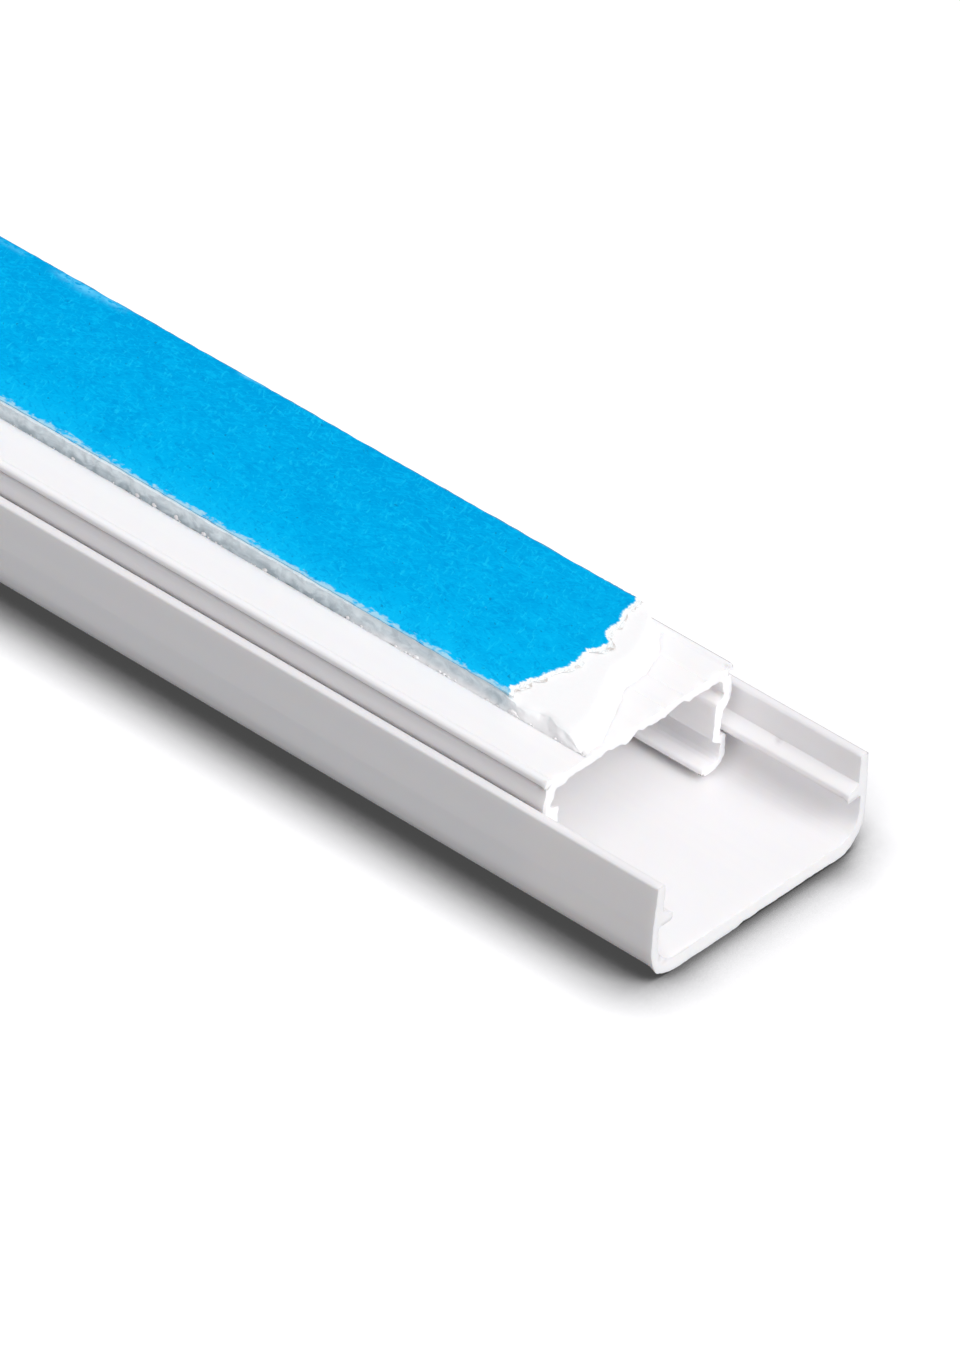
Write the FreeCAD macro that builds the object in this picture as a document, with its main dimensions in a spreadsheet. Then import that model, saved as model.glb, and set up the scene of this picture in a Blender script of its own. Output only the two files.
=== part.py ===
import FreeCAD, Part
import os
import Sketcher

# Cord cover raceway: a length of self-adhesive PVC mini trunking, lying upside down.
# The cover lies on its show face with its open side up. The base sits in it upside down,
# held by the cover's two beads, and is slid back from the cover's front end. Adhesive tape
# runs along the base's flat back, and the release liner on it is torn off near the front.
#
# X runs along the stock towards the front end, Y across it and Z up. The origin is the
# centre of the cover's show face, which lies on the floor. Millimetres throughout.

SIZES = (
    ("stock_length", 400.0, "length that both profiles are cut to"),
    ("set_back", 10.0, "how far the base is slid back from the cover's front end"),
    ("side_shift", 0.15, "how far the base sits from the middle, towards the near wall"),
    ("cover_width", 20.0, "outside width of the cover, the nominal size of the raceway"),
    ("cover_floor", 1.1, "thickness of the cover's show face"),
    ("cover_corner", 2.6, "outside radius between the show face and the walls"),
    ("lower_wall", 0.55, "wall thickness below the bead"),
    ("upper_wall", 0.75, "wall thickness above the bead"),
    ("wall_lean", 0.12, "how far the top of each wall leans inward"),
    ("bead_thickness", 1.05, "thickness of the bead along each wall"),
    ("bead_reach", 0.9, "how far the bead stands out from the wall above it"),
    ("rim_height", 2.15, "how far each wall rises above its bead"),
    ("rim_round", 0.22, "rounding along the top of the walls"),
    ("hook_clearance", 0.5, "gap between the base's hooks and the cover's show face"),
    ("bead_play", 0.1, "clearance between the bead and the shelf that it holds"),
    ("side_play", 0.25, "clearance between each bead's tip and the groove's floor"),
    ("rim_play", 0.28, "clearance between each leg's bow and the wall beside it"),
    ("web", 0.65, "thickness of the base's back between its raised edges"),
    ("edge_width", 0.6, "width of each raised edge of the back"),
    ("edge_rise", 0.15, "height of each raised edge of the back"),
    ("lip_reach", 0.15, "how far the back's lip stands out past the neck below it"),
    ("lip_height", 0.5, "height of the back's lip"),
    ("lip_round", 0.3, "rounding of the lip's upper edge"),
    ("bow_reach", 0.2, "how far the upper leg bows out past its neck"),
    ("bow_round", 2.0, "radius of the bow"),
    ("upper_leg", 2.7, "height of the upper leg, from the back to the groove's flank"),
    ("leg_wall", 0.8, "wall thickness of the upper leg at its bow"),
    ("gusset", 0.55, "how far the back's inside corner slopes inward"),
    ("groove_flank", 0.9, "height of the slope from the upper leg into the groove"),
    ("groove_height", 1.7, "height of the groove's floor"),
    ("block_wall", 0.65, "wall thickness behind the groove"),
    ("lock_reach", 0.35, "how far the shelf stands out past the bead's tip"),
    ("hook_height", 2.45, "height of the hook, from its shelf down"),
    ("hook_wall", 0.45, "wall thickness of the hook"),
    ("hook_curl", 2.05, "how far the hook's tip curls inward from its outside"),
    ("hook_tip", 0.8, "thickness of the hook's tip"),
    ("hook_round", 1.0, "outside radius of the hook's curl"),
    ("tape_width", 13.5, "width of the adhesive tape"),
    ("tape_thickness", 1.0, "thickness of the adhesive tape"),
    ("tape_margin", 0.3, "how far the tape's far edge lies inside the back's lip"),
    ("tape_short", 5.9, "how far the tape's far corner stops short of the base's front end"),
    ("liner_inset", 0.25, "how far the liner's near edge lies inside the tape's"),
    ("liner_thickness", 0.12, "thickness of the release liner"),
    ("liner_short", 6.8, "how far back from the base's front end the liner is torn"),
    ("tear_depth", 0.75, "how far the torn edge wanders to each side of its mean line"),
)

# Heights above the floor that more than one piece is drawn from, as formulas of the sizes
SHELF_LEVEL = "(Sizes.cover_floor + Sizes.hook_clearance + Sizes.hook_height)"
BEAD_BOTTOM = "(%s + Sizes.bead_play)" % SHELF_LEVEL
BEAD_TOP = "(%s + Sizes.bead_thickness)" % BEAD_BOTTOM
RIM_LEVEL = "(%s + Sizes.rim_height)" % BEAD_TOP
GROOVE_TOP = "(Sizes.upper_leg + Sizes.groove_flank)"
SHELF = "(%s + Sizes.groove_height)" % GROOVE_TOP
HOOK_BOTTOM = "(%s + Sizes.hook_height)" % SHELF
BACK_LEVEL = "(%s + %s)" % (SHELF_LEVEL, SHELF)
TAPE_SEAT = "(%s - Sizes.edge_rise)" % BACK_LEVEL

# Distances from the middle
HALF_COVER = "Sizes.cover_width / 2"
UPPER_FACE = "(%s - Sizes.wall_lean - Sizes.upper_wall)" % HALF_COVER
BEAD_TIP = "(%s - Sizes.bead_reach)" % UPPER_FACE
BOW_FACE = "(%s - Sizes.rim_play)" % UPPER_FACE
NECK_FACE = "(%s - Sizes.bow_reach)" % BOW_FACE
HALF_BACK = "(%s + Sizes.lip_reach)" % NECK_FACE
LEG_INSIDE = "(%s - Sizes.leg_wall)" % BOW_FACE
GROOVE_FLOOR = "(%s - Sizes.side_play)" % BEAD_TIP
BLOCK_FACE = "(%s - Sizes.block_wall)" % GROOVE_FLOOR
HOOK_FACE = "(%s + Sizes.lock_reach)" % BEAD_TIP
HOOK_INSIDE = "(%s - Sizes.hook_wall)" % HOOK_FACE
HOOK_POINT = "(%s - Sizes.hook_curl)" % HOOK_FACE

# The bow is widest midway between the back's underside and the groove's flank
WEB_UNDERSIDE = "(Sizes.edge_rise + Sizes.web)"
BOW_DEPTH = "((%s + Sizes.upper_leg) / 2)" % WEB_UNDERSIDE

HALF_LENGTH = "Sizes.stock_length / 2"
TAPE_FAR_EDGE = "(%s - Sizes.tape_margin)" % HALF_BACK
TAPE_NEAR_EDGE = "(%s - Sizes.tape_width)" % TAPE_FAR_EDGE

# Right half of the cover's section, from the foot up the outside and down the inside
COVER_CORNERS = {
    "outside_foot": (HALF_COVER, "0"),
    "outside_hip": (HALF_COVER, BEAD_BOTTOM),
    "outside_rim": (HALF_COVER + " - Sizes.wall_lean", RIM_LEVEL),
    "inside_rim": (UPPER_FACE, RIM_LEVEL),
    "bead_root_above": (UPPER_FACE, BEAD_TOP),
    "bead_tip_above": (BEAD_TIP, BEAD_TOP),
    "bead_tip_below": (BEAD_TIP, BEAD_BOTTOM),
    "bead_root_below": (HALF_COVER + " - Sizes.lower_wall", BEAD_BOTTOM),
    "inside_foot": (HALF_COVER + " - Sizes.lower_wall", "Sizes.cover_floor"),
}

# Right half of the base's section, from its back down the outside of the leg to the hook
# and up the inside, with heights counted from the top of the raised edges
BASE_CORNERS = {
    "edge_foot": (HALF_BACK + " - Sizes.edge_width", "-Sizes.edge_rise"),
    "edge_inside": (HALF_BACK + " - Sizes.edge_width", "0"),
    "edge_outside": (HALF_BACK, "0"),
    "lip_bottom": (HALF_BACK, "-Sizes.lip_height"),
    "neck": (NECK_FACE, "-Sizes.lip_height - Sizes.lip_reach"),
    "bow": (BOW_FACE, "-" + BOW_DEPTH),
    "flank": (NECK_FACE, "-Sizes.upper_leg"),
    "groove_top": (GROOVE_FLOOR, "-" + GROOVE_TOP),
    "groove_bottom": (GROOVE_FLOOR, "-" + SHELF),
    "hook_shelf": (HOOK_FACE, "-" + SHELF),
    "hook_heel": (HOOK_FACE, "-" + HOOK_BOTTOM),
    "tip_below": (HOOK_POINT, "-" + HOOK_BOTTOM),
    "tip_above": (HOOK_POINT, "-%s + Sizes.hook_tip" % HOOK_BOTTOM),
    "hook_inside": (HOOK_INSIDE, "-%s + Sizes.hook_tip" % HOOK_BOTTOM),
    "block_heel": (HOOK_INSIDE, "-%s - Sizes.block_wall" % SHELF),
    "block_bottom": (BLOCK_FACE, "-" + SHELF),
    "block_top": (BLOCK_FACE, "-Sizes.upper_leg"),
    "leg_inside": (LEG_INSIDE, "-" + BOW_DEPTH),
    "web_corner": (LEG_INSIDE + " - Sizes.gusset", "-" + WEB_UNDERSIDE),
}

# Worn front edges, from the near side to the far side. Each place across is a share of the
# strip's width. Each place along is a share of the tape's shortfall, or of the tear's depth.
TAPE_FRONT = (
    (0.0, 0.02), (0.14, 0.06), (0.32, 0.25), (0.53, 0.5), (0.7, 0.53),
    (0.84, 0.68), (0.95, 0.87), (0.985, 0.98), (1.0, 1.14),
)
TORN_FRONT = (
    (0.0, 0.2), (0.07, 0.95), (0.2, 0.4), (0.34, 0.0), (0.45, -0.65), (0.56, -0.35),
    (0.68, -1.0), (0.73, -0.2), (0.84, 0.25), (0.92, 0.9), (1.0, 1.0),
)


def make_sheet(document):
    """Write the driving dimensions into the document's spreadsheet."""
    sheet = document.addObject("Spreadsheet::Sheet", "Sizes")
    for row, (alias, value, note) in enumerate(SIZES, start=1):
        sheet.set("A%d" % row, alias)
        sheet.set("B%d" % row, str(value))
        sheet.set("C%d" % row, note)
        sheet.setAlias("B%d" % row, alias)
    document.recompute()


def new_body(document, label):
    """Start the body of one piece."""
    body = document.addObject("PartDesign::Body", label)
    body.Label = label
    return body


def new_sketch(body, name, role):
    """Start a sketch on one of the body's own origin planes."""
    plane = [item for item in body.Origin.OriginFeatures if item.Role == role][0]
    sketch = body.newObject("Sketcher::SketchObject", name)
    sketch.AttachmentSupport = (plane, [""])
    sketch.MapMode = "FlatFace"
    return sketch


def bind_corner(sketch, line, corner):
    """Tie a line's first point to the sizes that place it."""
    for kind, axis, formula in (("DistanceX", -2, corner[0]), ("DistanceY", -1, corner[1])):
        if formula == "0":
            sketch.addConstraint(Sketcher.Constraint("PointOnObject", line, 1, axis))
            continue
        value = sketch.evalExpression(formula)
        number = sketch.addConstraint(Sketcher.Constraint(kind, -1, 1, line, 1, value))
        sketch.setExpression("Constraints[%d]" % number, formula)


def draw_closed(sketch, points):
    """Draw straight lines round the points and join each to the next."""
    vectors = [FreeCAD.Vector(across, up, 0) for across, up in points]
    for start, end in zip(vectors, vectors[1:] + vectors[:1]):
        sketch.addGeometry(Part.LineSegment(start, end), False)
    for line in range(len(points)):
        following = (line + 1) % len(points)
        sketch.addConstraint(Sketcher.Constraint("Coincident", line, 2, following, 1))


def draw_symmetric(sketch, corners):
    """Draw a closed outline from the corners of its right half."""
    half = [(sketch.evalExpression(across), sketch.evalExpression(up)) for across, up in corners]
    mirrored = [(-across, up) for across, up in reversed(half)]
    draw_closed(sketch, half + mirrored)
    last = 2 * len(half) - 1
    for line, corner in enumerate(corners):
        bind_corner(sketch, line, corner)
        sketch.addConstraint(Sketcher.Constraint("Symmetric", line, 1, last - line, 1, -2))


def draw_outline(sketch, corners):
    """Draw a closed outline from all its corners."""
    points = [(sketch.evalExpression(along), sketch.evalExpression(across)) for along, across in corners]
    draw_closed(sketch, points)
    for line, corner in enumerate(corners):
        bind_corner(sketch, line, corner)


def extrude(document, body, sketch, length, both_ways):
    """Pad a sketch by a size, from its plane or to both sides of it."""
    pad = body.newObject("PartDesign::Pad", body.Label + "_pad")
    pad.Profile = sketch
    pad.Midplane = both_ways
    pad.setExpression("Length", length)
    document.recompute()
    return pad


def edges_along(feature, places):
    """Name the lengthwise edges that stand at any of the places in the section."""
    names = []
    for number, edge in enumerate(feature.Shape.Edges, start=1):
        first, second = edge.firstVertex().Point, edge.lastVertex().Point
        middle = FreeCAD.Vector(0, abs(first.y + second.y) / 2, (first.z + second.z) / 2)
        lengthwise = abs(first.x - second.x) > 1.0
        near = [place for place in places if middle.distanceToPoint(place) < 1e-4]
        if lengthwise and near:
            names.append("Edge%d" % number)
    return names


def round_corners(document, body, corners, rounding):
    """Round named corners of the section along the whole length, on both sides."""
    for name, keys, radius in rounding:
        base = body.Tip
        places = []
        for key in keys:
            across, up = corners[key]
            places.append(FreeCAD.Vector(0, base.evalExpression(across), base.evalExpression(up)))
        names = edges_along(base, places)
        if len(names) != 2 * len(keys):
            raise RuntimeError("%s finds %d edges for %d corners" % (name, len(names), len(keys)))
        fillet = body.newObject("PartDesign::Fillet", name)
        fillet.Base = (base, names)
        fillet.setExpression("Radius", radius)
        document.recompute()


def seat_on_base(body, level):
    """Place a piece of the base, slid back and to the near side, at a height above the floor."""
    body.setExpression("Placement.Base.x", "-Sizes.set_back")
    body.setExpression("Placement.Base.y", "-Sizes.side_shift")
    body.setExpression("Placement.Base.z", level)


def make_cover(document):
    """The outer channel: show face down, open side up, a bead along each wall."""
    body = new_body(document, "cover")
    sketch = new_sketch(body, "cover_section", "YZ_Plane")
    draw_symmetric(sketch, list(COVER_CORNERS.values()))
    extrude(document, body, sketch, "Sizes.stock_length", True)
    inner_corner = "Sizes.cover_corner - (Sizes.cover_floor + Sizes.lower_wall) / 2"
    round_corners(document, body, COVER_CORNERS, (
        ("outer_corner", ("outside_foot",), "Sizes.cover_corner"),
        ("inner_corner", ("inside_foot",), inner_corner),
        ("bead_tip", ("bead_tip_above", "bead_tip_below"), "Sizes.bead_thickness * 0.46"),
        ("rim", ("outside_rim", "inside_rim"), "Sizes.rim_round"),
    ))
    return body


def make_base(document):
    """The inner channel: back up, with a groove for the bead and a hook on each leg."""
    body = new_body(document, "base")
    sketch = new_sketch(body, "base_section", "YZ_Plane")
    draw_symmetric(sketch, list(BASE_CORNERS.values()))
    extrude(document, body, sketch, "Sizes.stock_length", True)
    round_corners(document, body, BASE_CORNERS, (
        ("bow", ("bow",), "Sizes.bow_round"),
        ("leg_inner_round", ("leg_inside",), "Sizes.leg_wall"),
        ("heel_round", ("hook_heel",), "Sizes.hook_round"),
        ("curl_round", ("hook_inside",), "Sizes.hook_round - Sizes.hook_wall"),
        ("tip_round", ("tip_below", "tip_above"), "Sizes.hook_tip * 0.4"),
        ("shelf_round", ("hook_shelf", "flank"), "Sizes.hook_wall * 0.4"),
        ("edge_round", ("edge_outside",), "Sizes.lip_round"),
        ("web_round", ("web_corner", "block_top"), "Sizes.leg_wall / 2"),
    ))
    seat_on_base(body, BACK_LEVEL)
    return body


def strip_outline(near, far, front):
    """Corners of a strip in plan, with its worn front edge from the near to the far side."""
    corners = [("-" + HALF_LENGTH, near)]
    for share, short in front:
        across = "%s + %s * (%s - %s)" % (near, share, far, near)
        corners.append(("%s - (%s)" % (HALF_LENGTH, short), across))
    corners.append(("-" + HALF_LENGTH, far))
    return corners


def make_tape(document):
    """The adhesive tape, on the base's back, pressed down over its far raised edge."""
    body = new_body(document, "adhesive_tape")
    sketch = new_sketch(body, "tape_outline", "XY_Plane")
    worn = [(share, "%s * Sizes.tape_short" % short) for share, short in TAPE_FRONT]
    draw_outline(sketch, strip_outline(TAPE_NEAR_EDGE, TAPE_FAR_EDGE, worn))
    pad = extrude(document, body, sketch, "Sizes.tape_thickness", False)
    relief = new_sketch(body, "edge_relief_outline", "XY_Plane")
    rear, front, inner = "-" + HALF_LENGTH, HALF_LENGTH, HALF_BACK + " - Sizes.edge_width"
    draw_outline(relief, [(rear, inner), (front, inner), (front, HALF_BACK), (rear, HALF_BACK)])
    pocket = body.newObject("PartDesign::Pocket", "edge_relief")
    pocket.Profile = relief
    pocket.Reversed = True
    pocket.setExpression("Length", "Sizes.edge_rise")
    document.recompute()
    if pocket.Shape.Volume >= pad.Shape.Volume:
        raise RuntimeError("the tape isn't relieved over the raised edge")
    seat_on_base(body, TAPE_SEAT)
    return body


def make_liner(document):
    """The release liner, face to face on the tape, with its torn front edge."""
    body = new_body(document, "release_liner")
    sketch = new_sketch(body, "liner_outline", "XY_Plane")
    near = "(%s + Sizes.liner_inset)" % TAPE_NEAR_EDGE
    torn = [(share, "Sizes.liner_short + %s * Sizes.tear_depth" % depth) for share, depth in TORN_FRONT]
    draw_outline(sketch, strip_outline(near, TAPE_FAR_EDGE, torn))
    extrude(document, body, sketch, "Sizes.liner_thickness", False)
    seat_on_base(body, TAPE_SEAT + " + Sizes.tape_thickness")
    return body


def check_document(document, pieces):
    """Stop if any object failed or any piece isn't one sound solid."""
    for item in document.Objects:
        if "Invalid" in item.State or "Error" in item.State:
            raise RuntimeError("%s failed: %s" % (item.Name, item.State))
    for piece in pieces:
        shape = piece.Shape
        if shape.isNull() or not shape.isValid() or len(shape.Solids) != 1:
            raise RuntimeError("%s isn't one sound solid" % piece.Label)


def export_pieces(pieces):
    """Write each piece to a file named after it."""
    os.makedirs("parts", exist_ok=True)
    for piece in pieces:
        piece.Shape.exportStep("parts/%s.step" % piece.Label)
        box = piece.Shape.BoundBox
        print("%-14s %9.1f mm3  X %.2f..%.2f  Y %.2f..%.2f  Z %.2f..%.2f" % (
            piece.Label, piece.Shape.Volume, box.XMin, box.XMax, box.YMin, box.YMax, box.ZMin, box.ZMax))


document = FreeCAD.newDocument("Raceway")
make_sheet(document)
raceway = [make_cover(document), make_base(document), make_tape(document), make_liner(document)]
document.recompute()
check_document(document, raceway)
export_pieces(raceway)
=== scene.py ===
"""Looks of the cord cover raceway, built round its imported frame.

The raceway lies upside down, its open side up: the cover on its show face, and in it the base
with its back up, its adhesive tape and what is left of the release liner. Every piece is modelled
in millimetres and turned to metres when it is finished, in the frame's own axes: +X along the
stock to the front end, +Y across it and +Z up.
"""

import logging
import math
import random
from bisect import bisect_right
from collections.abc import Iterable, Sequence
from dataclasses import dataclass
from enum import Enum

import bmesh
import bpy
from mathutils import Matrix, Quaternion, Vector, noise


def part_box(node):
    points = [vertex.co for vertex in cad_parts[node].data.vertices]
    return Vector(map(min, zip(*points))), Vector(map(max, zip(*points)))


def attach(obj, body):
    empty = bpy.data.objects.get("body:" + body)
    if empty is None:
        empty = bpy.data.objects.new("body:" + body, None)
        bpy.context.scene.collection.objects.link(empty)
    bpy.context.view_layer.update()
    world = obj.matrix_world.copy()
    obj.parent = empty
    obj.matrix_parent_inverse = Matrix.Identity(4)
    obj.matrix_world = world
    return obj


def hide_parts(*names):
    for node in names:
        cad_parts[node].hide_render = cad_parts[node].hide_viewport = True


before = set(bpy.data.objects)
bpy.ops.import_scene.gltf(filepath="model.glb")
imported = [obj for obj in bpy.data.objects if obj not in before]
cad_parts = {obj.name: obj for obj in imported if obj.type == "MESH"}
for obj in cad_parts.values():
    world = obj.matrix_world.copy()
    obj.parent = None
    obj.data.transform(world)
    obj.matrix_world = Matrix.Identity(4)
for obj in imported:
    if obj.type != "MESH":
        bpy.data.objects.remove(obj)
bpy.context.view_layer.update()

log = logging.getLogger("raceway")

MM = 0.001  # metres in a millimetre
ON_PLANE = 1e-5  # millimetres within which a vertex lies on a cutting plane
ON_FACE = 1e-4  # millimetres within which a vertex still belongs to a flat face
NICK_END = 3.0  # reaches from a nick's place at which it stops acting
NOISE_GAIN = 1.6  # brings the noise to between about -1 and 1


class End(Enum):
    """An end of the stock, with the way it faces along X."""

    REAR = -1
    FRONT = 1


class Body(Enum):
    """The two bodies of the frame that pieces ride on."""

    COVER = "cover"
    BASE = "base"


class Ease(Enum):
    """How a value runs between the two ends of its range."""

    STRAIGHT = "LINEAR"
    SOFT = "SMOOTHSTEP"


@dataclass(frozen=True)
class Extent:
    """Lowest and highest corner of a CAD node at rest, in millimetres."""

    low: Vector
    high: Vector

    @classmethod
    def of(cls, node: str) -> "Extent":
        """Read a node's extent from the frame."""
        low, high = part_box(node)
        return cls(low / MM, high / MM)

    @property
    def middle(self) -> Vector:
        """The centre of the extent."""
        return (self.low + self.high) / 2

    def hold(self, mesh: bmesh.types.BMesh) -> None:
        """Keep every vertex of a mesh inside the extent.

        Args:
            mesh: The mesh.
        """
        for vert in mesh.verts:
            for axis in range(3):
                vert.co[axis] = min(max(vert.co[axis], self.low[axis]), self.high[axis])


# Colour and nodes


def linear(code: str) -> tuple[float, float, float, float]:
    """Turn an sRGB hex colour to the linear colour that a socket takes.

    Args:
        code: The colour as six hex digits.

    Returns:
        Linear red, green and blue, and an alpha of one.
    """
    values = []
    for start in (0, 2, 4):
        share = int(code[start:start + 2], 16) / 255
        values.append(share / 12.92 if share <= 0.04045 else ((share + 0.055) / 1.055) ** 2.4)
    return (values[0], values[1], values[2], 1.0)


def add_node(tree: bpy.types.NodeTree, kind: str, inputs: dict | None = None, output: int | str = 0,
             **settings: object) -> bpy.types.NodeSocket | None:
    """Add a node to a tree.

    Args:
        tree: The node tree that takes the node.
        kind: The node's type name, without the ShaderNode in front.
        inputs: For each input, by name or number, the value it holds or the output that feeds it.
        output: The output to hand back, by name or number.
        **settings: The node's own settings.

    Returns:
        That output, or nothing from a node that has none.
    """
    node = tree.nodes.new("ShaderNode" + kind)
    for name, value in settings.items():
        setattr(node, name, value)
    for socket, value in (inputs or {}).items():
        if isinstance(value, bpy.types.NodeSocket):
            tree.links.new(value, node.inputs[socket])
        else:
            node.inputs[socket].default_value = value
    return node.outputs[output] if node.outputs else None


def new_material(name: str) -> tuple[bpy.types.Material, bpy.types.NodeTree]:
    """Start a material with an empty node tree.

    Args:
        name: The material's name.

    Returns:
        The material and its tree.
    """
    material = bpy.data.materials.new(name)
    material.use_nodes = True
    material.node_tree.nodes.clear()
    return material, material.node_tree


def own_place(tree: bpy.types.NodeTree, axis: str) -> bpy.types.NodeSocket:
    """The place along one axis of the piece, in metres."""
    return add_node(tree, "SeparateXYZ", {0: add_node(tree, "TexCoord", output="Object")}, output=axis)


def rescale(tree: bpy.types.NodeTree, value: bpy.types.NodeSocket, band: Sequence[float],
            levels: Sequence[float] = (0.0, 1.0), ease: Ease = Ease.SOFT) -> bpy.types.NodeSocket:
    """Take a value from one range to another and hold it there."""
    inputs = dict(enumerate((value, *band, *levels)))
    return add_node(tree, "MapRange", inputs, interpolation_type=ease.value)


def paint(tree: bpy.types.NodeTree, ground: bpy.types.NodeSocket | tuple,
          coats: Iterable[tuple]) -> bpy.types.NodeSocket | tuple:
    """Lay colours over a ground, one after another.

    Args:
        tree: The node tree.
        ground: The colour under them all.
        coats: For each coat, the share that it covers and its colour.

    Returns:
        The colour that shows.
    """
    shown = ground
    for share, colour in coats:
        shown = add_node(tree, "Mix", {"Factor": share, 6: shown, 7: colour}, output=2, data_type="RGBA")
    return shown


@dataclass(frozen=True)
class Grain:
    """Noise on a piece's own coordinates.

    It has a size along X, Y and Z in millimetres, a number of finer layers, a turn about Z in
    degrees and a warp by which it bends itself. Its share runs between two levels while the
    noise, about 0.5 on average, crosses its band.
    """

    size: tuple[float, float, float]
    detail: float = 2.0
    turn: float = 0.0
    warp: float = 0.0
    band: tuple[float, float] = (0.0, 1.0)
    levels: tuple[float, float] = (0.0, 1.0)

    def value(self, tree: bpy.types.NodeTree) -> bpy.types.NodeSocket:
        """The bare noise.

        Args:
            tree: The node tree.

        Returns:
            The noise's value.
        """
        place = add_node(tree, "TexCoord", output="Object")
        scale = tuple(1 / (length * MM) for length in self.size)
        turned = add_node(tree, "Mapping", {"Vector": place, "Rotation": (0, 0, math.radians(self.turn))})
        mapped = add_node(tree, "Mapping", {"Vector": turned, "Scale": scale})
        return add_node(tree, "TexNoise", {"Vector": mapped, "Scale": 1.0, "Detail": self.detail,
                                           "Roughness": 0.55, "Distortion": self.warp})

    def share(self, tree: bpy.types.NodeTree) -> bpy.types.NodeSocket:
        """The noise brought to the grain's levels."""
        return rescale(tree, self.value(tree), self.band, self.levels)


# Finishes


@dataclass(frozen=True)
class ExtrudedPvc:
    """Rigid white PVC, extruded through a die.

    The die leaves it satin, with faint streaks and lines along the stock. Light runs a little way
    into it and softens its edges. Dirt and painted shade show where the piece's attribute of grime
    and shade puts them.
    """

    name: str
    colour: str = "FCFAFB"
    streak_colour: str = "FAF8FA"
    # Colour of dirt, and of the shade painted in undercuts, under beads and hooks and on the arrises
    grime_and_shade_colour: str = "8D8984"
    roughness: float = 0.42
    ior: float = 1.53
    streaks: Grain = Grain((90.0, 1.6, 1.6), band=(0.35, 0.7))
    # Die lines are finer than this, and are drawn as coarse as they need to show
    lines: Grain = Grain((90.0, 0.3, 0.3), 3.0)
    skin: Grain = Grain((0.35, 0.12, 0.12))
    skin_share: float = 0.25
    line_depth: float = 0.006
    scatter: tuple[float, float, float] = (0.55, 0.462, 0.385)
    scatter_share: float = 0.55

    def build(self) -> bpy.types.Material:
        """Make the material.

        Returns:
            The finished material.
        """
        material, tree = new_material(self.name)
        # Darker where the piece's attribute says: dirt at the nicks, and painted shade in undercuts, under
        # beads and hooks and on the arrises
        grime_and_shade = add_node(tree, "Attribute", output="Fac", attribute_name="grime_and_shade")
        colour = paint(tree, linear(self.colour), [
            (self.streaks.share(tree), linear(self.streak_colour)), (grime_and_shade, linear(self.grime_and_shade_colour))])
        relief = {0: self.skin.value(tree), 1: self.skin_share, 2: self.lines.value(tree)}
        height = add_node(tree, "Math", relief, operation="MULTIPLY_ADD")
        bump = add_node(tree, "Bump", {"Height": height, "Strength": 0.6, "Distance": self.line_depth * MM})
        surface = add_node(tree, "BsdfPrincipled", {
            "Base Color": colour, "Roughness": self.roughness, "IOR": self.ior, "Normal": bump,
            "Subsurface Weight": self.scatter_share, "Subsurface Scale": 1.0,
            "Subsurface Radius": tuple(depth * MM for depth in self.scatter)})
        add_node(tree, "OutputMaterial", {"Surface": surface})
        return material


@dataclass(frozen=True)
class FoamTape:
    """Acrylic foam tape, cast on a carrier and slit to width.

    Its face is milky white. Its slit side, which the slit attribute marks, is cloudy, with small
    bubbles cut open; it is painted with shade and a blue tint of light from the liner, and with more
    shade towards the foot.
    """

    foot: float
    name: str = "acrylic_foam_tape"
    colour: str = "FFFFFF"
    # The slit side's colour is painted with shade and a blue tint of light from the liner; the clouds add
    # random cloudiness, and the band and share below paint more shade towards the foot
    slit_painted_shade_colour: str = "E4EFF3"
    cloud_and_shade_colour: str = "A0AFB6"
    foot_shade_band: tuple[float, float] = (0.1, 0.85)
    foot_shade_share: float = 0.8
    clouds: Grain = Grain((1.1, 0.6, 0.7), 4.0, warp=1.0, band=(0.32, 0.68), levels=(-0.28, 0.28))
    # The foam's cells are finer than this, and are drawn as coarse as they need to show
    bubble_size: float = 0.28
    bubble_depth: float = 0.02
    roughness: float = 0.45
    ior: float = 1.47
    scatter: tuple[float, float, float] = (0.56, 0.7, 0.7)
    scatter_share: float = 0.3

    def build(self) -> bpy.types.Material:
        """Make the material.

        Returns:
            The finished material.
        """
        material, tree = new_material(self.name)
        # Painted shade on the slit side, deeper towards the foot, with random cloudiness
        heights = [(self.foot + up) * MM for up in self.foot_shade_band]
        low = rescale(tree, own_place(tree, "Z"), heights, (self.foot_shade_share, 0.0))
        dark = add_node(tree, "Math", {0: low, 1: self.clouds.share(tree)}, operation="ADD", use_clamp=True)
        side = paint(tree, linear(self.slit_painted_shade_colour), [(dark, linear(self.cloud_and_shade_colour))])
        slit = add_node(tree, "Attribute", output="Fac", attribute_name="slit")
        place = add_node(tree, "TexCoord", output="Object")
        cells = {"Vector": place, "Scale": 1 / (self.bubble_size * MM), "Smoothness": 0.6}
        bubbles = add_node(tree, "TexVoronoi", cells, output="Distance", feature="SMOOTH_F1")
        bump = add_node(tree, "Bump", {"Height": bubbles, "Strength": 0.5,
                                       "Distance": self.bubble_depth * MM})
        surface = add_node(tree, "BsdfPrincipled", {
            "Base Color": paint(tree, linear(self.colour), [(slit, side)]), "Roughness": self.roughness,
            "IOR": self.ior, "Subsurface Weight": self.scatter_share, "Subsurface Scale": 1.0,
            "Subsurface Radius": tuple(depth * MM for depth in self.scatter), "Normal": bump})
        add_node(tree, "OutputMaterial", {"Surface": surface})
        return material


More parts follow.
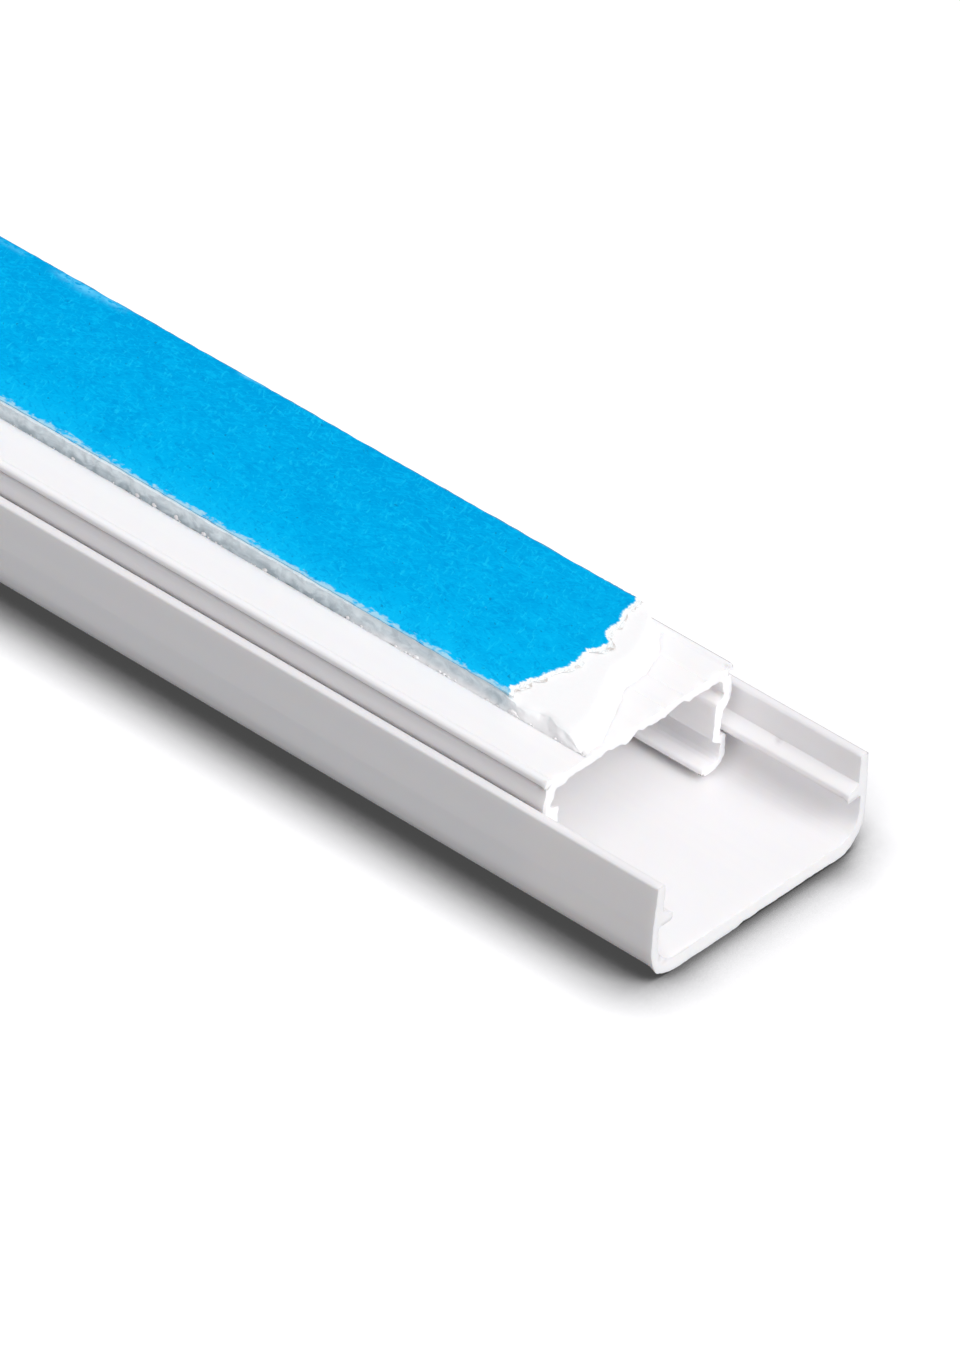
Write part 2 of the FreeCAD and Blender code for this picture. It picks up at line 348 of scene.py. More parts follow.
@dataclass(frozen=True)
class PaperCore:
    """The bare core of the release paper: unprinted, fibrous and matt white, with soil specks and painted
    shade at its rim.
    """

    name: str = "bare_paper_core"
    colour: str = "FCFFFF"
    shade: str = "E3E9EA"
    # Soil specks and painted shade at the torn rim
    soil_and_shade: str = "D2CBC5"
    soil_and_shade_band: tuple[float, float] = (0.25, 0.4)
    fibres: Grain = Grain((0.5, 0.08, 0.08), 3.0, 70.0, 1.2, band=(0.48, 0.66))
    specks: Grain = Grain((0.7, 0.35, 0.35), 4.0, band=(0.39, 0.62))
    fuzz: Grain = Grain((0.12, 0.12, 0.12), 4.0)
    fuzz_depth: float = 0.02
    roughness: float = 0.9
    ior: float = 1.4

    def colour_of(self, tree: bpy.types.NodeTree) -> bpy.types.NodeSocket:
        """The core's colour, with the shade between its fibres, and soil specks and painted shade at its rim.

        Args:
            tree: The tree of the material that shows the core.

        Returns:
            The colour.
        """
        past_coat = add_node(tree, "Attribute", output="Fac", attribute_name="past_coat")
        # Soil specks, and painted shade, towards the torn rim
        rim = rescale(tree, past_coat, self.soil_and_shade_band)
        soiled_and_shaded = add_node(tree, "Math", {0: rim, 1: self.specks.share(tree)}, operation="MULTIPLY")
        return paint(tree, linear(self.colour), [
            (self.fibres.share(tree), linear(self.shade)), (soiled_and_shaded, linear(self.soil_and_shade))])

    def build(self) -> bpy.types.Material:
        """Make the material.

        Returns:
            The finished material.
        """
        material, tree = new_material(self.name)
        bump = add_node(tree, "Bump", {"Height": self.fuzz.value(tree), "Strength": 0.8,
                                       "Distance": self.fuzz_depth * MM})
        surface = add_node(tree, "BsdfPrincipled", {
            "Base Color": self.colour_of(tree), "Roughness": self.roughness, "IOR": self.ior,
            "Normal": bump})
        add_node(tree, "OutputMaterial", {"Surface": surface})
        return material


def paper_fibres(turn: float, start: float) -> Grain:
    """Short soft fibres that lie one way, from a share where the noise starts to count."""
    # Paper fibres are finer than this, and are drawn as coarse as they need to show
    return Grain((0.75, 0.3, 0.3), 1.0, turn, 1.2, band=(start, start + 0.22), levels=(0.0, 0.55))


@dataclass(frozen=True)
class BlueReleasePaper:
    """Release paper, dyed blue and coated with silicone.

    Its fibres show through the coat as short soft light and dark flecks. It is paler towards its
    near edge, where it is frayed, and scuffed at its far edge, along which a line of shade is painted.
    The white core shows at the tear.
    """

    core: PaperCore
    near_edge: float
    far_edge: float
    name: str = "blue_release_paper"
    far_colour: str = "00A5E4"
    near_colour: str = "00B5F2"
    near_share: float = 0.1
    edge_colour: str = "10C2FB"
    rub_width: float = 3.2
    rub_share: float = 0.8
    front_colour: str = "08C8FF"
    front_band: tuple[float, float] = (166.0, 184.0)
    front_share: float = 0.25
    mottle: tuple[tuple[Grain, str], ...] = (
        (Grain((5.0, 2.4, 2.4), 2.0, 30.0, band=(0.45, 0.7), levels=(0.0, 0.6)), "00A3E4"),
        (paper_fibres(20.0, 0.5), "009ADD"),
        (paper_fibres(100.0, 0.56), "0098DC"),
        (paper_fibres(-40.0, 0.47), "04BCF7"),
        (paper_fibres(5.0, 0.52), "0AC5FB"),
        (paper_fibres(65.0, 0.56), "18D0FF"),
        (Grain((0.55, 0.35, 0.35), 1.0, 50.0, band=(0.72, 0.8), levels=(0.0, 0.6)), "0D79AE"),
    )
    fray_colour: str = "B4DFEF"
    fray_width: float = 1.0
    fray_band: tuple[float, float] = (1.5, 2.0)
    fray_share: float = 0.85
    tufts: Grain = Grain((0.55, 0.35, 0.35), 3.0)
    tuft_gain: float = 2.0
    # A painted shade line along the far edge
    outline_painted_shade_colour: str = "6F8A98"
    outline_shade_inset: tuple[float, float] = (0.13, 0.04)
    outline_shade_share: float = 0.6
    scuff_colour: str = "62D0FF"
    scratches: Grain = Grain((0.5, 0.3, 0.3), 3.0, band=(0.34, 0.5))
    fringe_colour: str = "A9DDF2"
    fringe_band: tuple[float, float] = (0.1, 0.27)
    core_band: tuple[float, float] = (0.22, 0.27)
    rags: Grain = Grain((0.3, 0.22, 0.22), 4.0)
    rag_width: float = 0.5
    tooth: Grain = Grain((0.2, 0.1, 0.1), 4.0, 30.0)
    tooth_depth: float = 0.012
    roughness: float = 0.85

    def dyed(self, tree: bpy.types.NodeTree) -> bpy.types.NodeSocket:
        """The coat's colour, paler towards the near edge and the front, with its fibres.

        Args:
            tree: The node tree.

        Returns:
            The colour.
        """
        across = own_place(tree, "Y")
        inward = self.near_edge + self.near_share * (self.far_edge - self.near_edge)
        nearness = rescale(tree, across, (self.far_edge * MM, inward * MM), ease=Ease.STRAIGHT)
        rub_band = (self.near_edge * MM, (self.near_edge + self.rub_width) * MM)
        rubbed = rescale(tree, across, rub_band, (self.rub_share, 0.0))
        front_band = [place * MM for place in self.front_band]
        brighter = rescale(tree, own_place(tree, "X"), front_band, (0.0, self.front_share))
        dye = paint(tree, linear(self.far_colour), [
            (nearness, linear(self.near_colour)), (rubbed, linear(self.edge_colour)),
            (brighter, linear(self.front_colour))])
        return paint(tree, dye, [(grain.share(tree), linear(colour)) for grain, colour in self.mottle])

    def worn(self, tree: bpy.types.NodeTree, coat: bpy.types.NodeSocket) -> bpy.types.NodeSocket:
        """The coat's colour with tufts along the near edge, a painted shade line along the far edge and the
        scuffs.

        Args:
            tree: The node tree.
            coat: The coat's colour.

        Returns:
            The colour.
        """
        across = own_place(tree, "Y")
        edge_band = (self.near_edge * MM, (self.near_edge + self.fray_width) * MM)
        near = rescale(tree, across, edge_band, (1.0, 0.0))
        tufts = add_node(tree, "Math", {0: self.tufts.value(tree), 1: self.tuft_gain, 2: near},
                         operation="MULTIPLY_ADD")
        frayed = rescale(tree, tufts, self.fray_band, (0.0, self.fray_share))
        # A painted shade line along the far edge
        outline_band = [(self.far_edge - inset) * MM for inset in self.outline_shade_inset]
        painted_shade = rescale(tree, across, outline_band, (0.0, self.outline_shade_share))
        scuff = add_node(tree, "Attribute", output="Fac", attribute_name="scuff")
        scuffed = add_node(tree, "Math", {0: scuff, 1: self.scratches.share(tree)}, operation="MULTIPLY")
        return paint(tree, coat, [
            (frayed, linear(self.fray_colour)), (painted_shade, linear(self.outline_painted_shade_colour)),
            (scuffed, linear(self.scuff_colour))])

    def torn(self, tree: bpy.types.NodeTree, coat: bpy.types.NodeSocket) -> bpy.types.NodeSocket:
        """The coat's colour with its pale ragged fringe at the tear and the bare core past it.

        Args:
            tree: The node tree.
            coat: The coat's colour.

        Returns:
            The colour.
        """
        past_coat = add_node(tree, "Attribute", output="Fac", attribute_name="past_coat")
        line = add_node(tree, "Math", {0: self.rags.value(tree), 1: self.rag_width, 2: past_coat},
                        operation="MULTIPLY_ADD")
        fringe = rescale(tree, line, self.fringe_band)
        bare = rescale(tree, line, self.core_band)
        return paint(tree, coat, [(fringe, linear(self.fringe_colour)), (bare, self.core.colour_of(tree))])

    def build(self) -> bpy.types.Material:
        """Make the material.

        Returns:
            The finished material.
        """
        material, tree = new_material(self.name)
        colour = self.torn(tree, self.worn(tree, self.dyed(tree)))
        bump = add_node(tree, "Bump", {"Height": self.tooth.value(tree), "Strength": 0.5,
                                       "Distance": self.tooth_depth * MM})
        surface = add_node(tree, "BsdfPrincipled", {
            "Base Color": colour, "Roughness": self.roughness, "Specular IOR Level": 0.005, "Normal": bump})
        add_node(tree, "OutputMaterial", {"Surface": surface})
        return material


@dataclass(frozen=True)
class PaintedFloorShade:
    """A shade painted on the floor, where the space above a point isn't open.

    It looks up along a lean for a reach in millimetres, and turns the open share of what it sees,
    within its band, to how white the floor is there.
    """

    reach: float
    band: tuple[float, float]
    levels: tuple[float, float]
    lean: tuple[float, float, float] = (0.0, 0.0, 1.0)
    ease: Ease = Ease.STRAIGHT
    samples: int = 12

    def level(self, tree: bpy.types.NodeTree) -> bpy.types.NodeSocket:
        """How white the shade leaves the floor.

        Args:
            tree: The node tree.

        Returns:
            The level, which is one where the floor is white.
        """
        toward = add_node(tree, "CombineXYZ", dict(enumerate(self.lean)))
        openness = add_node(tree, "AmbientOcclusion", {"Distance": self.reach * MM, "Normal": toward},
                            output="AO", samples=self.samples)
        return rescale(tree, openness, self.band, self.levels, self.ease)


@dataclass(frozen=True)
class StudioFloor:
    """A matt white sweep with a soft shade painted close round what lies on it, and a faint painted glow.

    The shade is dark and narrow along the walls, drawn out in front of the front end, and very
    faint behind the far wall. Only the camera sees it: the light that the floor throws back on the
    piece is that of a plain grey one.
    """

    name: str = "studio_floor"
    colour: str = "9F9F9F"
    # A faint painted glow that the camera sees on the floor, which lifts the painted shade's darkest parts
    lift: float = 0.065
    walls: PaintedFloorShade = PaintedFloorShade(5.6, (0.44, 1.0), (0.0, 1.15), ease=Ease.SOFT)
    front: PaintedFloorShade = PaintedFloorShade(5.6, (0.415, 1.0), (0.12, 1.13), (-0.79, 0.35, 0.5))
    rear: PaintedFloorShade = PaintedFloorShade(12.0, (0.0, 0.86), (0.32, 1.1), (0.0, -0.9, 0.43))

    def build(self) -> bpy.types.Material:
        """Make the material.

        Returns:
            The finished material.
        """
        material, tree = new_material(self.name)
        # The painted shade: the darkest of the three looks at how open the space above the floor is
        seen = self.walls.level(tree)
        for shade in (self.front, self.rear):
            seen = add_node(tree, "Math", {0: seen, 1: shade.level(tree)}, operation="MINIMUM")
        white = add_node(tree, "CombineColor", {0: seen, 1: seen, 2: seen})
        painted_shade = add_node(tree, "BsdfDiffuse", {"Color": white})
        glow = add_node(tree, "Emission", {"Strength": self.lift})
        straight = add_node(tree, "AddShader", {0: painted_shade, 1: glow})
        bounced = add_node(tree, "BsdfDiffuse", {"Color": linear(self.colour)})
        camera_ray = add_node(tree, "LightPath", output="Is Camera Ray")
        surface = add_node(tree, "MixShader", {0: camera_ray, 1: bounced, 2: straight})
        add_node(tree, "OutputMaterial", {"Surface": surface})
        return material


# Shapes in millimetres


@dataclass(frozen=True)
class Corner:
    """A corner of a half section: its place, and the radius that rounds it."""

    across: float
    up: float
    radius: float = 0.0


@dataclass(frozen=True)
class Nick:
    """A place where a cut or a knock has pushed the surface, and how much it is darkened: its dirt, and at
    some nicks painted shade.
    """

    place: tuple[float, float, float]
    reach: tuple[float, float, float]
    push: tuple[float, float, float] = (0.0, 0.0, 0.0)
    grime_and_shade: float = 0.0

    def weight(self, point: Vector) -> float:
        """How strongly the nick acts at a point, from one at its place to nothing."""
        square = sum(((point[axis] - self.place[axis]) / self.reach[axis]) ** 2 for axis in range(3))
        return math.exp(-square) if square < NICK_END ** 2 else 0.0


def wobble(point: Vector, grain: float, seed: float = 0.0) -> float:
    """Smooth noise at a point.

    Args:
        point: Where, in millimetres.
        grain: Length of the noise's waves, in millimetres.
        seed: Which of many noises.

    Returns:
        A value between about -1 and 1.
    """
    return NOISE_GAIN * noise.noise(point / grain + Vector((seed, 7.3 * seed, 3.1 * seed)))


def follow(line: Sequence[tuple[float, float]], across: float) -> float:
    """Read a line that is given by points at rising places across.

    Args:
        line: Points as (across, value).
        across: Where to read.

    Returns:
        The value there, straight between the points and level past the ends.
    """
    if across <= line[0][0]:
        return line[0][1]
    if across >= line[-1][0]:
        return line[-1][1]
    number = bisect_right([point[0] for point in line], across)
    (left, start), (right, end) = line[number - 1], line[number]
    return start + (end - start) * (across - left) / (right - left)


def section_prism(half: Sequence[Corner], rear: float, front: float, middle: float) -> bmesh.types.BMesh:
    """Extrude a symmetric section along X.

    Args:
        half: The corners of the section's right half, in order.
        rear: Where the prism starts along X.
        front: Where it ends.
        middle: Where the section's middle lies across.

    Returns:
        A closed mesh with rounded corners.
    """
    mesh = bmesh.new()
    whole = list(half) + [Corner(-corner.across, corner.up, corner.radius) for corner in reversed(half)]
    ring = [mesh.verts.new((rear, middle + corner.across, corner.up)) for corner in whole]
    mesh.faces.new(ring)
    for vert, corner in zip(ring, whole):
        if corner.radius:
            sides = [edge.other_vert(vert).co - vert.co for edge in vert.link_edges]
            offset = corner.radius / math.tan(sides[0].angle(sides[1]) / 2)
            segments = max(3, min(14, round(corner.radius * 6)))
            bmesh.ops.bevel(mesh, geom=[vert], offset=offset, offset_type="OFFSET", segments=segments,
                            profile=0.5, affect="VERTICES", material=-1, clamp_overlap=True)
    grown = bmesh.ops.extrude_face_region(mesh, geom=mesh.faces[:])
    moved = [item for item in grown["geom"] if isinstance(item, bmesh.types.BMVert)]
    bmesh.ops.translate(mesh, verts=moved, vec=(front - rear, 0, 0))
    bmesh.ops.recalc_face_normals(mesh, faces=mesh.faces[:])
    return mesh


def block(low: Vector, high: Vector) -> bmesh.types.BMesh:
    """Make a closed block.

    Args:
        low: Its lowest corner.
        high: Its highest corner.

    Returns:
        The block's mesh.
    """
    mesh = bmesh.new()
    bmesh.ops.create_cube(mesh, size=1.0)
    bmesh.ops.scale(mesh, verts=mesh.verts[:], vec=high - low)
    bmesh.ops.translate(mesh, verts=mesh.verts[:], vec=(low + high) / 2)
    return mesh


def cut(mesh: bmesh.types.BMesh, axis: int, places: Iterable[float]) -> None:
    """Cut a mesh's faces, without parting them, by planes across one axis.

    Args:
        mesh: The mesh.
        axis: 0, 1 or 2 for X, Y or Z.
        places: Where the planes stand on that axis.
    """
    normal = Vector((0, 0, 0))
    normal[axis] = 1.0
    for place in places:
        everything = mesh.verts[:] + mesh.edges[:] + mesh.faces[:]
        bmesh.ops.bisect_plane(mesh, geom=everything, dist=ON_PLANE, plane_co=normal * place, plane_no=normal)


def steps(start: float, end: float, spacing: float) -> list[float]:
    """Places between two ends, evenly spaced and off both ends."""
    count = max(1, round(abs(end - start) / spacing))
    return [start + (end - start) * number / count for number in range(1, count)]


@dataclass(frozen=True)
class SawnEnd:
    """The rough end that a saw leaves on a profile.

    Its marks are up to a depth, in broad waves and fine teeth, and its edges wander by a fringe.
    """

    place: float
    end: End
    depth: float = 0.05
    fringe: float = 0.035
    reach: float = 0.4
    tooth: float = 0.22
    wave: float = 1.3
    fine_cuts: tuple[float, ...] = (0.05, 0.12, 0.22, 0.34, 0.5, 0.8, 1.3, 2.2, 4.0, 8.0)
    coarse_cuts: tuple[float, ...] = (0.12, 0.35, 1.0, 6.0)

    def stations(self, fine: bool) -> list[float]:
        """Where the profile is cut near this end, so that the roughness has something to move."""
        cuts = self.fine_cuts if fine else self.coarse_cuts
        return [self.place - self.end.value * distance for distance in cuts]

    def roughen(self, mesh: bmesh.types.BMesh) -> None:
        """Push the end in by the saw's marks, and let its edges wander.

        Args:
            mesh: The profile's mesh.
        """
        for vert in mesh.verts:
            away = abs(vert.co.x - self.place)
            if away > self.reach:
                continue
            fade = 1 - away / self.reach
            flat = Vector((0.0, vert.co.y, vert.co.z))
            mark = 0.5 + 0.3 * wobble(flat, self.wave) + 0.3 * wobble(flat, self.tooth, 2.0)
            vert.co.x -= self.end.value * self.depth * fade * max(0.0, mark)
            vert.co.y += self.fringe * fade ** 2 * wobble(flat, self.tooth * 1.7, 5.0)
            vert.co.z += self.fringe * fade ** 2 * wobble(flat, self.tooth * 1.7, 9.0)


def wear(mesh: bmesh.types.BMesh, nicks: Sequence[Nick]) -> None:
    """Push a mesh at its nicks, and note their dirt, and at some of them painted shade, in its attribute of
    grime and shade.

    Args:
        mesh: The mesh.
        nicks: The nicks that it has.
    """
    grime_and_shade = mesh.verts.layers.float.new("grime_and_shade")
    for vert in mesh.verts:
        spot = vert.co.copy()
        # How much the nicks darken a vertex: their dirt, and at some of them painted shade
        dirt = 0.0
        for nick in nicks:
            share = nick.weight(spot)
            vert.co += Vector(nick.push) * share
            dirt = max(dirt, nick.grime_and_shade * share)
        vert[grime_and_shade] = dirt


def finish_piece(name: str, mesh: bmesh.types.BMesh, materials: Sequence[bpy.types.Material], body: Body,
                 nodes: Sequence[str] = (), sharp: float = 32.0) -> bpy.types.Object:
    """Turn a mesh in millimetres to a piece of the raceway.

    Args:
        name: The piece's name.
        mesh: Its mesh, which is freed.
        materials: Its materials, in the order of its faces' material numbers.
        body: The body that it rides on.
        nodes: The CAD nodes that it stands for.
        sharp: The angle between two faces, in degrees, past which the edge stays sharp.

    Returns:
        The piece's object.
    """
    bmesh.ops.scale(mesh, verts=mesh.verts[:], vec=(MM, MM, MM))
    mesh.normal_update()
    for face in mesh.faces:
        face.smooth = True
    for edge in mesh.edges:
        edge.smooth = len(edge.link_faces) == 2 and edge.calc_face_angle() < math.radians(sharp)
    data = bpy.data.meshes.new(name)
    mesh.to_mesh(data)
    mesh.free()
    piece = bpy.data.objects.new(name, data)
    bpy.context.scene.collection.objects.link(piece)
    for material in materials:
        data.materials.append(material)
    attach(piece, body.value)
    if nodes:
        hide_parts(*nodes)
    log.info("%s: %d faces, on %s", name, len(data.polygons), body.value)
    return piece


# Sub-assemblies


@dataclass
class CoverChannel:
    """The outer channel: show face down, open side up, a bead along each wall."""

    floor: float = 1.1
    corner: float = 2.6
    lower_wall: float = 0.55
    upper_wall: float = 0.66
    lean: float = 0.19
    bead_bottom: float = 4.15
    bead_thickness: float = 1.05
    bead_nose: float = 0.56
    bead_reach: float = 0.9
    nose_share: float = 0.28
    rim_round: float = 0.22
    # The rims' tops are darkened a little; a line of shade is painted on the far arris, and shadow under the
    # beads
    rim_skin: float = 0.06
    rim_darkening: float = 0.12
    arris_width: float = 0.14
    arris_painted_shade: float = 0.6
    bead_painted_shadow: float = 0.26
    bead_shadow_depth: float = 1.1
    chip_back: float = 6.4
    chip_reach: float = 0.4
    cell: float = 0.22

    def section(self, extent: Extent) -> list[Corner]:
        """Draw the right half of the section, from the foot up the outside and down the inside.

        Args:
            extent: The cover's extent.

        Returns:
            The section's corners.
        """
        half = (extent.high.y - extent.low.y) / 2
        foot = extent.low.z
        rim = extent.high.z
        face = half - self.lean - self.upper_wall
        tip = face - self.bead_reach
        inner = half - self.lower_wall
        bead_top = self.bead_bottom + self.bead_thickness
        nose_round = self.bead_nose * self.nose_share
        return [
            Corner(half, foot, self.corner),
            Corner(half, self.bead_bottom),
            Corner(half - self.lean, rim, self.rim_round),
            Corner(face, rim, self.rim_round),
            Corner(face, bead_top),
            Corner(tip, self.bead_bottom + self.bead_nose, nose_round),
            Corner(tip, self.bead_bottom, nose_round),
            Corner(inner, self.bead_bottom),
            Corner(inner, self.floor, self.corner - (self.floor + self.lower_wall) / 2),
        ]

    def nicks(self, front: float) -> list[Nick]:
        """List the chips, burrs and dirt that the photo shows near the front end.

        Args:
            front: Where the cover's front end is.

        Returns:
            The nicks: waves of the show face's edge, the far bead's tip, the inside and outside of
            the near corner, and a chip on the far bead.
        """
        return [
            Nick((front, -1.2, 0.0), (0.25, 0.4, 0.3), (0.0, 0.0, 0.14)),
            Nick((front, 0.3, 0.0), (0.25, 1.3, 0.3), (0.0, 0.0, 0.17)),
            Nick((front, 2.9, 0.0), (0.25, 1.9, 0.3), (0.0, 0.0, 0.14)),
            Nick((front, 5.9, 0.0), (0.25, 1.9, 0.3), (0.0, 0.0, 0.18)),
            Nick((front, 8.4, 4.2), (0.3, 0.4, 0.4), (0.0, -0.03, -0.09)),
            Nick((front - 0.5, 8.3, 4.2), (0.12, 0.2, 0.2), (0.0, 0.08, 0.0), 0.35),
            Nick((front, -6.9, 1.12), (0.1, 1.5, 0.1), (0.0, 0.0, -0.04), 0.3),
            Nick((front, -9.3, 0.6), (0.4, 0.6, 0.6), (0.0, -0.12, -0.18)),
            Nick((front, -9.15, 1.75), (0.1, 0.1, 0.3), (-0.1, 0.0, 0.0), 0.4),
            Nick((front, -8.5, 1.2), (0.1, 0.25, 0.12), (-0.08, 0.0, 0.0), 0.35),
            Nick((front, -9.6, 0.7), (0.15, 0.15, 0.3), (-0.12, 0.06, 0.0), 0.2),
            Nick((front - self.chip_back, 8.95, 5.2), (0.25, 0.2, 0.15), (0.0, 0.0, -0.12), 0.35),
        ]

    def darken_with_painted_shade(self, mesh: bmesh.types.BMesh, extent: Extent) -> None:
        """Darken the rims' tops a little, paint shadow under the beads, and paint a line of shade on the far
        arris.

        Args:
            mesh: The cover's mesh, with its attribute of grime and painted shade.
            extent: The cover's extent.
        """
        grime_and_shade = mesh.verts.layers.float["grime_and_shade"]
        inner = extent.high.y - self.lower_wall
        arris = extent.high.y - self.lean - self.arris_width
        for vert in mesh.verts:
            across = abs(vert.co.y - extent.middle.y)
            under = (self.bead_bottom - vert.co.z) / self.bead_shadow_depth
            if vert.co.z > extent.high.z - self.rim_skin:
                vert[grime_and_shade] = max(vert[grime_and_shade], self.rim_darkening)
            if vert.co.y > arris and vert.co.z > extent.high.z - self.rim_round:
                vert[grime_and_shade] = max(vert[grime_and_shade], self.arris_painted_shade)
            if 0.0 <= under < 1.0 and inner - 0.1 < across < inner + 0.1:
                vert[grime_and_shade] = max(vert[grime_and_shade], self.bead_painted_shadow * (1 - under))
            if -0.2 < under <= 0.02 and across < inner - 0.2:
                vert[grime_and_shade] = max(vert[grime_and_shade], self.bead_painted_shadow)

    def build(self, pvc: bpy.types.Material) -> bpy.types.Object:
        """Make the cover, in place of its CAD node.

        Args:
            pvc: What it is made of.

        Returns:
            The cover's object.
        """
        extent = Extent.of("cover")
        mesh = section_prism(self.section(extent), extent.low.x, extent.high.x, extent.middle.y)
        cut(mesh, 1, steps(extent.low.y, extent.high.y, self.cell))
        cut(mesh, 2, steps(extent.low.z, extent.high.z, self.cell))
        rear, front = SawnEnd(extent.low.x, End.REAR), SawnEnd(extent.high.x, End.FRONT)
        chip = extent.high.x - self.chip_back
        round_chip = [chip - self.chip_reach, chip, chip + self.chip_reach]
        cut(mesh, 0, rear.stations(False) + round_chip + front.stations(True))
        rear.roughen(mesh)
        front.roughen(mesh)
        wear(mesh, self.nicks(extent.high.x))
        self.darken_with_painted_shade(mesh, extent)
        extent.hold(mesh)
        return finish_piece("cover_channel", mesh, [pvc], Body.COVER, ["cover"])


@dataclass
class BaseChannel:
    """The inner channel, upside down in the cover: its back up, its two legs hanging into the beads."""

    half_back: float = 8.8
    web: float = 0.65
    edge_width: float = 0.6
    edge_rise: float = 0.15
    lip_height: float = 0.46
    lip_reach: float = 0.15
    lip_round: float = 0.3
    undercut: float = 0.32
    bow_reach: float = 0.2
    bow_drop: float = 2.2
    bow_round: float = 1.0
    upper_leg: float = 2.7
    leg_wall: float = 0.75
    gusset: float = 0.5
    groove_flank: float = 0.9
    groove_depth: float = 0.67
    groove_height: float = 1.7
    block_wall: float = 0.65
    shelf_reach: float = 0.6
    hook_height: float = 2.45
    hook_wall: float = 0.45
    hook_curl: float = 2.05
    hook_tip: float = 0.52
    hook_round: float = 1.0
    # Painted shade in the undercuts, under the hooks' tips, low on the bows and on the far arris
    undercut_painted_shade: float = 0.55
    bow_painted_shade: float = 0.3
    bow_shade_band: tuple[float, float] = (1.4, 2.3)
    hook_painted_shadow: float = 0.95
    arris_painted_shade: float = 0.6
    die_lines: tuple[float, ...] = (2.2, 4.0, 6.1)
    die_line_width: float = 0.07
    die_line_depth: float = 0.03
    cell: float = 0.2

    def section(self, back: float) -> list[Corner]:
        """Draw the right half of the section, from the back down the outside and up the inside.

        Args:
            back: How high the raised edges of the back are.

        Returns:
            The section's corners: the raised edge, the lip and the undercut below it, the bow, the
            groove, the shelf, the curled hook, and the inside of the leg up to the back.
        """
        neck = self.half_back - self.lip_reach
        bow = neck + self.bow_reach
        groove = neck - self.groove_depth
        hook = groove + self.shelf_reach
        point = hook - self.hook_curl
        under_web = self.edge_rise + self.web
        groove_top = self.upper_leg + self.groove_flank
        shelf = groove_top + self.groove_height
        bottom = shelf + self.hook_height
        places = [
            (self.half_back - self.edge_width - 0.06, self.edge_rise, 0.2),
            (self.half_back - self.edge_width + 0.12, 0.0, 0.2),
            (self.half_back, 0.0, self.lip_round),
            (self.half_back, self.lip_height, 0.06),
            (neck - self.undercut, self.lip_height + 0.04, 0.04),
            (neck - self.undercut, self.lip_height + 0.24, 0.05),
            (neck - 0.02, self.lip_height + 0.4, 0.2),
            (bow, self.bow_drop, self.bow_round),
            (neck, self.upper_leg, self.hook_wall * 0.4),
            (groove, groove_top, 0.1),
            (groove, shelf, 0.08),
            (hook, shelf, self.hook_wall * 0.4),
            (hook, bottom, self.hook_round),
            (point, bottom, self.hook_tip * 0.4),
            (point, bottom - self.hook_tip, self.hook_tip * 0.4),
            (hook - self.hook_wall, bottom - self.hook_tip, self.hook_round - self.hook_wall),
            (hook - self.hook_wall, shelf + self.block_wall, 0.0),
            (groove - self.block_wall, shelf, 0.08),
            (groove - self.block_wall, self.upper_leg, self.leg_wall / 2),
            (bow - self.leg_wall, self.bow_drop, self.leg_wall / 3),
            (bow - self.leg_wall - self.gusset, under_web, 0.15),
        ]
        return [Corner(across, back - down, radius) for across, down, radius in places]

    def nicks(self, front: float, back: float) -> list[Nick]:
        """List the burrs and chips that the photo shows at the front end.

        Args:
            front: Where the base's front end is.
            back: How high the raised edges of the back are.

        Returns:
            The nicks: burrs along the web's sawn edge, then the two lips' ends and the near leg's.
        """
        under = back - self.edge_rise - self.web
        burrs = [
            (-7.5, 0.35, -0.1), (-5.4, 0.5, -0.05), (-3.0, 0.6, 0.14), (-1.35, 0.4, -0.34),
            (-0.25, 0.45, 0.2), (0.8, 0.35, 0.06), (2.1, 0.5, -0.06), (3.6, 0.7, 0.27),
            (5.5, 0.4, -0.05),
        ]
        return [Nick((front, across, under), (0.45, reach, 0.3), (0.0, 0.0, push))
                for across, reach, push in burrs] + [
            Nick((front, -7.45, under - 0.1), (0.5, 0.4, 0.4), (0.0, 0.0, -0.15)),
            Nick((front, 8.2, back - 0.1), (0.35, 0.2, 0.12), (-0.05, 0.0, -0.05), 0.45),
            Nick((front, -8.5, back - 0.6), (0.25, 0.3, 0.3), (0.0, -0.32, 0.0)),
            Nick((front - 0.45, -8.75, back - 0.7), (0.12, 0.3, 0.2), (0.0, 0.0, 0.0), 0.5),
            Nick((front, -7.6, back - 2.6), (0.2, 0.3, 0.25), (-0.05, 0.08, 0.0)),
            Nick((front, -7.15, back - 1.35), (0.5, 0.35, 0.8), (0.0, 0.3, -0.1)),
        ]

